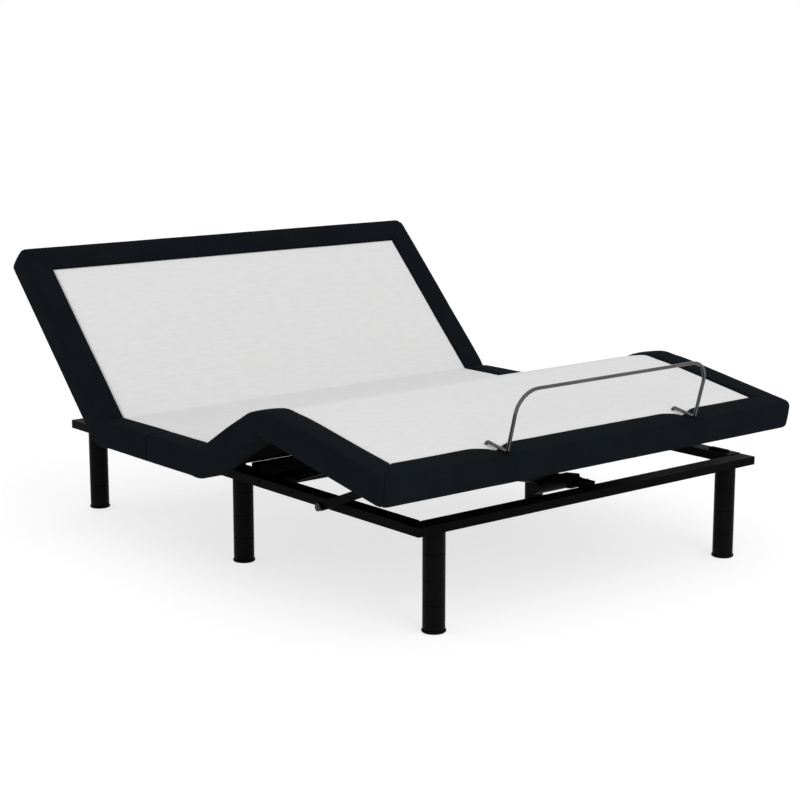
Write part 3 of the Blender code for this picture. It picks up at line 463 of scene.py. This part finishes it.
# ---------------------------------------------------------------- materials
class Shader:
    """A Principled material with helpers for its nodes. Sizes are in metres."""

    def __init__(self, name, colour, roughness, specular, metallic=0.0):
        self.material = bpy.data.materials.new(name)
        self.material.use_nodes = True
        self.tree = self.material.node_tree
        self.shader = self.tree.nodes["Principled BSDF"]
        self.shader.inputs["Base Color"].default_value = (*colour, 1.0)
        self.shader.inputs["Roughness"].default_value = roughness
        self.shader.inputs["Metallic"].default_value = metallic
        self.shader.inputs["Specular IOR Level"].default_value = specular

    def node(self, kind, **values):
        """A new node, with its inputs or properties set by name."""
        made = self.tree.nodes.new(kind)
        for key, value in values.items():
            if key in made.inputs:
                made.inputs[key].default_value = value
            else:
                setattr(made, key, value)
        return made

    def link(self, start, end):
        self.tree.links.new(start, end)

    def place(self, uv=False, scale=(1, 1, 1)):
        """Coordinates in metres: the cloth's own, or the object's."""
        source = self.node("ShaderNodeTexCoord")
        mapping = self.node("ShaderNodeMapping")
        mapping.inputs["Scale"].default_value = scale
        self.link(source.outputs["UV" if uv else "Object"], mapping.inputs["Vector"])
        return mapping.outputs["Vector"]

    def noise(self, where, size, detail, rough=0.5):
        made = self.node("ShaderNodeTexNoise", Scale=1.0 / size, Detail=detail, Roughness=rough)
        self.link(where, made.inputs["Vector"])
        return made.outputs["Fac"]

    def threads(self, where, period, direction):
        """Rows of threads. At scale 1 the wave texture's own period is 2 pi / 20."""
        made = self.node("ShaderNodeTexWave", Scale=2 * math.pi / 20 / period, Distortion=0.6, Detail=1.0)
        made.bands_direction = direction
        self.link(where, made.inputs["Vector"])
        return made.outputs["Fac"]

    def mixed(self, factor, low, high):
        """A colour between two, by a factor."""
        ramp = self.node("ShaderNodeValToRGB")
        for stop, position, colour in zip(ramp.color_ramp.elements, (0.3, 0.7), (low, high)):
            stop.position = position
            stop.color = (*colour, 1.0)
        self.link(factor, ramp.inputs["Fac"])
        return ramp.outputs["Color"]

    def between(self, factor, low, high):
        """A number between two, by a factor."""
        made = self.node("ShaderNodeMapRange")
        made.inputs["To Min"].default_value = low
        made.inputs["To Max"].default_value = high
        self.link(factor, made.inputs["Value"])
        return made.outputs["Result"]

    def combine(self, first, second, operation):
        made = self.node("ShaderNodeMath", operation=operation)
        self.link(first, made.inputs[0])
        self.link(second, made.inputs[1])
        return made.outputs["Value"]

    def bump(self, height, strength, distance):
        """Adds relief; a second call goes on top of the first."""
        made = self.node("ShaderNodeBump", Strength=strength, Distance=distance)
        self.link(height, made.inputs["Height"])
        before = self.shader.inputs["Normal"].links
        if before:
            self.link(before[0].from_socket, made.inputs["Normal"])
        self.link(made.outputs["Normal"], self.shader.inputs["Normal"])


def grey(value):
    return (value, value, value)


def navy_fabric():
    """Dark woven upholstery with a slow blotch in its colour and gloss."""
    made = Shader("navy_upholstery", (0.008, 0.010, 0.014), roughness=0.9, specular=0.012)
    thread = 0.0016
    cloth = made.place(uv=True)
    solid = made.place()
    weave = made.combine(made.threads(cloth, thread, "X"), made.threads(cloth, thread, "Y"), "ADD")
    made.bump(weave, 0.25, 0.0004)
    made.bump(made.noise(solid, 0.006, 4.0), 0.12, 0.0008)
    made.bump(made.noise(solid, 0.12, 2.0), 0.12, 0.004)
    blotch = made.noise(solid, 0.09, 5.0, 0.6)
    colour = made.mixed(blotch, (0.0045, 0.0062, 0.0081), (0.0057, 0.0077, 0.0099))
    made.link(colour, made.shader.inputs["Base Color"])
    made.link(made.between(blotch, 0.78, 0.9), made.shader.inputs["Roughness"])
    return made.material


def white_fabric():
    """White woven cloth with faint streaks along its threads."""
    made = Shader("white_deck_cloth", grey(0.63), roughness=0.9, specular=0.05)
    thread = 0.0022
    cloth = made.place(uv=True)
    streaks = made.noise(made.place(uv=True, scale=(1.0, 4.0, 1.0)), 0.05, 5.0, 0.65)
    colour = made.mixed(streaks, grey(0.615), (0.655, 0.655, 0.65))
    made.link(colour, made.shader.inputs["Base Color"])
    weave = made.combine(made.threads(cloth, thread, "X"), made.threads(cloth, thread, "Y"), "MULTIPLY")
    made.bump(weave, 0.2, 0.0004)
    made.bump(made.noise(cloth, 0.008, 4.0), 0.12, 0.0008)
    made.link(made.between(streaks, 0.85, 0.95), made.shader.inputs["Roughness"])
    return made.material


def worn_surface(name, low, high, roughness, grain, relief, specular, metallic=0.0):
    """A hard surface with fine grain, uneven gloss and slightly uneven colour."""
    made = Shader(name, high, roughness[0], specular, metallic)
    solid = made.place()
    patches = made.noise(solid, 0.07, 5.0, 0.6)
    made.link(made.mixed(patches, low, high), made.shader.inputs["Base Color"])
    made.link(made.between(patches, *roughness), made.shader.inputs["Roughness"])
    made.bump(made.noise(solid, grain, 2.0), relief, grain / 4)
    return made.material


def make_finishes():
    """The materials, by their slot in the record."""
    return {
        "navy_fabric": navy_fabric(),
        "white_fabric": white_fabric(),
        "powder_coat": worn_surface(
            "black_powder_coat", grey(0.0010), grey(0.0018), roughness=(0.42, 0.58),
            grain=0.0016, relief=0.25, specular=0.02,
        ),
        "black_board": worn_surface(
            "black_board_cover", grey(0.0022), (0.0040, 0.0039, 0.0038), roughness=(0.8, 0.95),
            grain=0.003, relief=0.3, specular=0.01,
        ),
        "black_plastic": worn_surface(
            "black_moulded_plastic", grey(0.0020), grey(0.0032), roughness=(0.34, 0.46),
            grain=0.0012, relief=0.12, specular=0.025,
        ),
        "rubber": worn_surface(
            "black_rubber", grey(0.003), grey(0.005), roughness=(0.75, 0.9),
            grain=0.002, relief=0.2, specular=0.02,
        ),
        "zinc": worn_surface(
            "dull_zinc_plate", (0.028, 0.028, 0.029), grey(0.050), roughness=(0.35, 0.5),
            grain=0.002, relief=0.1, specular=0.5, metallic=1.0,
        ),
        "bar_steel": worn_surface(
            "dark_bright_steel", (0.065, 0.065, 0.067), (0.11, 0.11, 0.112), roughness=(0.14, 0.24),
            grain=0.0015, relief=0.08, specular=0.5, metallic=1.0,
        ),
    }


# ---------------------------------------------------------------- assembly
def make_borders(navy):
    """The border in four pieces: round the head, round the foot, and along the seat on each side."""
    head_side = (SEAT_SPLIT + GAP, HEAD_CLOTH + 2 * GAP, 1)
    head_strips = [
        (*side_strip(-1, *head_side), False),
        (*end_strip(HEAD_Y, 1), False),
        (*side_strip(1, *head_side), True),
    ]
    head_border = border_piece("head_border_cloth", head_strips, navy)
    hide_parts("head_border_left", "head_border_right", "head_border_top")
    foot_side = (FOOT_CLOTH - 2 * GAP, THIGH_SPLIT, -1)
    foot_strips = [
        (*side_strip(-1, *foot_side), True),
        (*end_strip(FOOT_Y, -1), False),
        (*side_strip(1, *foot_side), False),
    ]
    foot_border = border_piece("calf_border_cloth", foot_strips, navy)
    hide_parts("calf_border_left", "calf_border_right", "calf_border_foot")
    middle = []
    for name, sign in (("left", -1), ("right", 1)):
        strip = side_strip(sign, THIGH_SPLIT, SEAT_SPLIT - GAP, 0)
        piece = border_piece("seat_border_cloth_" + name, [(*strip, False)], navy)
        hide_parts("seat_border_" + name, "thigh_border_" + name)
        middle.append(piece)
    return head_border, foot_border, middle


def make_cloths(white, backing):
    """The white cloths of the head, of the seat and thigh, and of the calf, with the pads under them."""
    head_cloth = cloth_piece("head_deck_cloth", SEAT_SPLIT, HEAD_CLOTH, white, backing)
    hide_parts("head_pad")
    seat_cloth = cloth_piece("seat_deck_cloth", THIGH_SPLIT, SEAT_SPLIT, white, backing)
    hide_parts("seat_pad", "thigh_pad")
    calf_cloth = cloth_piece("calf_deck_cloth", FOOT_CLOTH, THIGH_SPLIT, white, backing)
    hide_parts("calf_pad")
    return head_cloth, seat_cloth, calf_cloth


def blend_at_hinges(head_pieces, seat_pieces, calf_pieces):
    """Bakes each piece's placement into its mesh; the fabric already turns at each crease in fold."""
    for piece in head_pieces:
        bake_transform(piece)
    for piece in seat_pieces:
        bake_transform(piece)
    for piece in calf_pieces:
        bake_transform(piece)


def build_upholstery(finishes):
    head_border, foot_border, middle = make_borders(finishes["navy_fabric"])
    head_cloth, seat_cloth, calf_cloth = make_cloths(finishes["white_fabric"], finishes["black_board"])
    blend_at_hinges((head_border, head_cloth), (*middle, seat_cloth), (foot_border, calf_cloth))


def dress_frame(finishes):
    """Gives every carried-over CAD piece its finish, by the slot in the record."""
    for part in frame["record"]["subparts"]:
        node = frame["nodes"][part["node"]]
        node.data.materials.clear()
        node.data.materials.append(finishes[part["material_slot"]])


# ---------------------------------------------------------------- studio
def area_light(name, place, target, size, power):
    data = bpy.data.lights.new(name, "AREA")
    data.shape = "DISK"
    data.size = size
    data.energy = power
    lamp = bpy.data.objects.new(name, data)
    lamp.location = place
    lamp.rotation_euler = (Vector(target) - Vector(place)).to_track_quat("-Z", "Y").to_euler()
    bpy.context.scene.collection.objects.link(lamp)


def build_floor():
    """A wide pale floor just under the glides, bright enough to fade into the background."""
    half = 60.0
    corners = [(-half, -half, 0), (half, -half, 0), (half, half, 0), (-half, half, 0)]
    mesh = bpy.data.meshes.new("floor")
    mesh.from_pydata(corners, [], [(0, 1, 2, 3)])
    floor = bpy.data.objects.new("floor", mesh)
    bpy.context.scene.collection.objects.link(floor)
    floor.location.z = -0.0005
    pale = Shader("pale_floor", grey(0.34), roughness=0.9, specular=0.0)
    pale.shader.inputs["Emission Color"].default_value = (1.0, 1.0, 1.0, 1.0)
    pale.shader.inputs["Emission Strength"].default_value = 0.70
    mesh.materials.append(pale.material)


def build_studio():
    world = bpy.data.worlds.new("studio")
    bpy.context.scene.world = world
    world.use_nodes = True
    background = world.node_tree.nodes["Background"]
    background.inputs["Color"].default_value = (1.0, 1.0, 1.0, 1.0)
    background.inputs["Strength"].default_value = 1.0
    build_floor()
    area_light("key", place=(-1.2, -6.0, 3.0), target=(0, 0, 0.3), size=3.5, power=105)
    bpy.context.scene.view_settings.view_transform = "Standard"


def build_camera():
    """The camera at the photograph's view: to the left of the foot end, looking slightly down."""
    data = bpy.data.cameras.new("camera")
    data.sensor_width = 36.0
    data.lens = 83.21
    data.clip_end = 200.0
    camera = bpy.data.objects.new("camera", data)
    camera.location = (-3.4673, -4.3223 + ORIGIN_SHIFT, 1.4732)
    yaw, pitch = math.radians(39.404), math.radians(11.036)
    ahead = Vector((math.sin(yaw) * math.cos(pitch), math.cos(yaw) * math.cos(pitch), -math.sin(pitch)))
    camera.rotation_euler = ahead.to_track_quat("-Z", "Y").to_euler()
    bpy.context.scene.collection.objects.link(camera)
    bpy.context.scene.camera = camera


build_camera()
build_studio()
FINISHES = make_finishes()
dress_frame(FINISHES)
build_upholstery(FINISHES)
